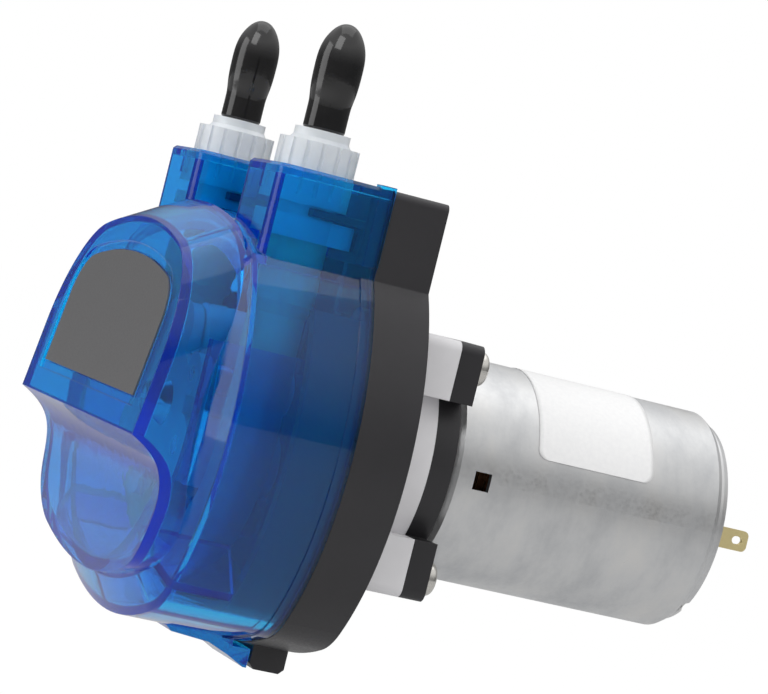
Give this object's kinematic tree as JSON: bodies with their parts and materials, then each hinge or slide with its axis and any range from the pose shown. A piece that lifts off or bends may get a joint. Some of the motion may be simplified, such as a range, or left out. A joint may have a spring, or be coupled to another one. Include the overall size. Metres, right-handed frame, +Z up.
{
  "type": "peristaltic pump head",
  "caption": "Peristaltic pump head: clear clip-fit cover over a roller rotor and looped tube, capped hose ports on top and a planetary gear motor behind.",
  "frame": {"origin": "pump axis at the rear, panel side face of the base, at the centre of the four panel holes", "axes": "+Z up towards the hose ports, -Y to the front of the cover, +Y along the motor"},
  "size_m": [0.0784, 0.1126, 0.1],
  "materials": {
    "base_black": "satin moulded",
    "cover_blue": "transparent polished",
    "plate_grey": "smooth inlay",
    "fitting_white": "translucent",
    "tube_tan": "smooth soft tube",
    "cap_black": "glossy soft vinyl",
    "rotor_white": "moulded",
    "roller_white": "smooth",
    "gear_white": "moulded",
    "gearbox_white": "satin moulded",
    "plate_black": "satin moulded",
    "can_steel": "zinc plated satin",
    "steel": "ground",
    "screw_steel": "plated",
    "core_steel": "laminated",
    "bronze": "sintered",
    "brass": "bright",
    "copper": "enamelled",
    "magnet": "sintered",
    "carbon": "pressed"
  },
  "bodies": {
    "base": {"base_housing": "base_black", "shaft_bush": "bronze", "fitting_left": "fitting_white", "fitting_right": "fitting_white", "pump_tube": "tube_tan", "gearbox_housing": "gearbox_white", "gear_plate": "plate_black", "gearbox_screws": "screw_steel", "motor_screws": "screw_steel", "motor_can": "can_steel", "front_bush": "bronze", "end_bell": "can_steel", "rear_bush": "bronze", "terminals": "brass", "magnets": "magnet", "brushes": "carbon", "brush_arms": "brass"},
    "cover": {"cover_shell": "cover_blue", "nameplate": "plate_grey"},
    "rotor": {"rotor_front_plate": "rotor_white", "rotor_rear_plate": "rotor_white", "roller_pins": "steel", "spacer_posts": "steel", "drive_shaft": "steel", "rotor_screw": "steel", "planet_carrier": "steel", "carrier_pins": "steel"},
    "roller_1": {"roller_1": "roller_white"},
    "roller_2": {"roller_2": "roller_white"},
    "roller_3": {"roller_3": "roller_white"},
    "planet_1": {"planet_1": "gear_white"},
    "planet_2": {"planet_2": "gear_white"},
    "planet_3": {"planet_3": "gear_white"},
    "armature": {"sun_gear": "brass", "motor_shaft": "steel", "armature_core": "core_steel", "armature_windings": "copper", "commutator": "copper"},
    "cap_left": {"cap_left": "cap_black"},
    "cap_right": {"cap_right": "cap_black"}
  },
  "joints": [
    {"name": "motor_spin", "type": "hinge", "parent": "base", "child": "armature", "pos_m": [0, 0.038, 0], "axis": [0, 1, 0], "continuous": true},
    {"name": "rotor_spin", "type": "hinge", "parent": "base", "child": "rotor", "pos_m": [0, -0.01, 0], "axis": [0, 1, 0], "continuous": true},
    {"name": "roller_1_spin", "type": "hinge", "parent": "rotor", "child": "roller_1", "pos_m": [0, -0.0195, 0.0111], "axis": [0, 1, 0], "continuous": true},
    {"name": "roller_2_spin", "type": "hinge", "parent": "rotor", "child": "roller_2", "pos_m": [-0.00961, -0.0195, -0.00555], "axis": [0, 1, 0], "continuous": true},
    {"name": "roller_3_spin", "type": "hinge", "parent": "rotor", "child": "roller_3", "pos_m": [0.00961, -0.0195, -0.00555], "axis": [0, 1, 0], "continuous": true},
    {"name": "planet_1_spin", "type": "hinge", "parent": "rotor", "child": "planet_1", "pos_m": [0, 0.0063, 0.00945], "axis": [0, 1, 0], "continuous": true},
    {"name": "planet_2_spin", "type": "hinge", "parent": "rotor", "child": "planet_2", "pos_m": [-0.00818, 0.0063, -0.00473], "axis": [0, 1, 0], "continuous": true},
    {"name": "planet_3_spin", "type": "hinge", "parent": "rotor", "child": "planet_3", "pos_m": [0.00818, 0.0063, -0.00473], "axis": [0, 1, 0], "continuous": true},
    {"name": "cover_pull", "type": "slide", "parent": "base", "child": "cover", "axis": [0, -1, 0], "range_m": [0, 0.06]},
    {"name": "cap_left_pull", "type": "slide", "parent": "base", "child": "cap_left", "axis": [0, 0, 1], "range_m": [0, 0.03]},
    {"name": "cap_right_pull", "type": "slide", "parent": "base", "child": "cap_right", "axis": [0, 0, 1], "range_m": [0, 0.03]}
  ],
  "couplings": [
    {"joint": "rotor_spin", "follows": "motor_spin", "ratio": 0.22222},
    {"joint": "roller_1_spin", "follows": "motor_spin", "ratio": -0.67071},
    {"joint": "roller_2_spin", "follows": "motor_spin", "ratio": -0.67071},
    {"joint": "roller_3_spin", "follows": "motor_spin", "ratio": -0.67071},
    {"joint": "planet_1_spin", "follows": "motor_spin", "ratio": -0.62222},
    {"joint": "planet_2_spin", "follows": "motor_spin", "ratio": -0.62222},
    {"joint": "planet_3_spin", "follows": "motor_spin", "ratio": -0.62222}
  ]
}
